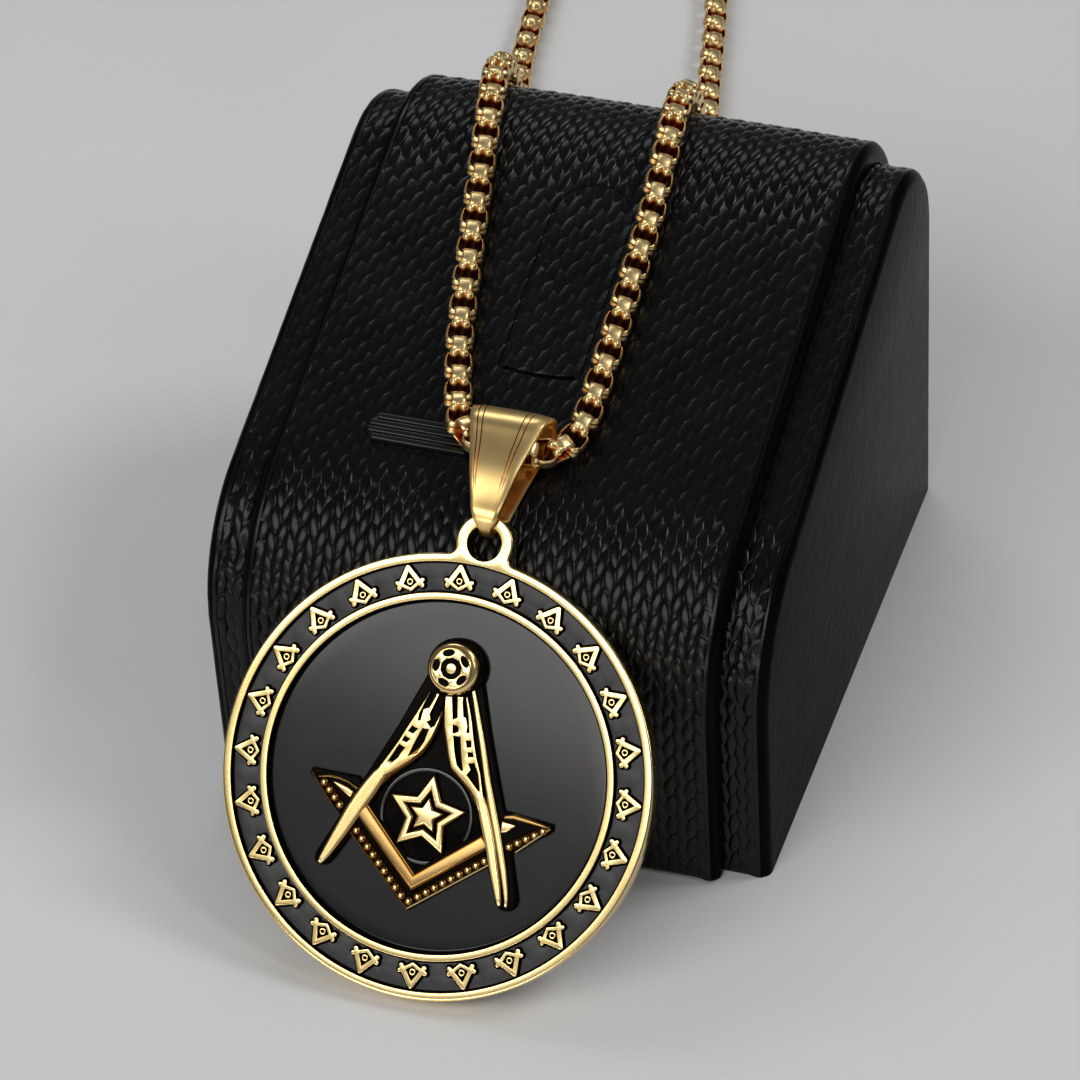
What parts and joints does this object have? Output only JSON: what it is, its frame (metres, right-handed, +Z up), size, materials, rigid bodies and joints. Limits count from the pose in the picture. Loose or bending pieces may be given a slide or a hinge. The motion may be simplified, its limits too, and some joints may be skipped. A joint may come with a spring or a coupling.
{
  "type": "masonic pendant necklace on a display block",
  "caption": "Round enamelled medal with square and compasses on a tapered bail and box chain, leaning on a sloped leatherette display block with the chain laid over it and behind.",
  "frame": {"origin": "centre of the display block's flat underside", "axes": "+X to the right of the medal as seen from its front, +Y from the medal over the block towards the far end of the chain, +Z up"},
  "size_m": [0.1046, 0.276, 0.0489],
  "materials": {
    "leatherette": "satin",
    "gloss_black": "polished",
    "polished_gold": "polished",
    "charcoal_enamel": "satin",
    "black_enamel": "polished",
    "antique_gold": "polished",
    "satin_gold": "satin",
    "chain_gold": "polished"
  },
  "bodies": {
    "root": {"block": "leatherette", "pad": "leatherette", "ribbed_bar": "gloss_black", "medal": "polished_gold", "border_enamel": "charcoal_enamel", "centre_plate": "black_enamel", "emblem": "antique_gold", "bail": "satin_gold", "chain": "chain_gold", "clasp": "chain_gold"}
  },
  "joints": []
}
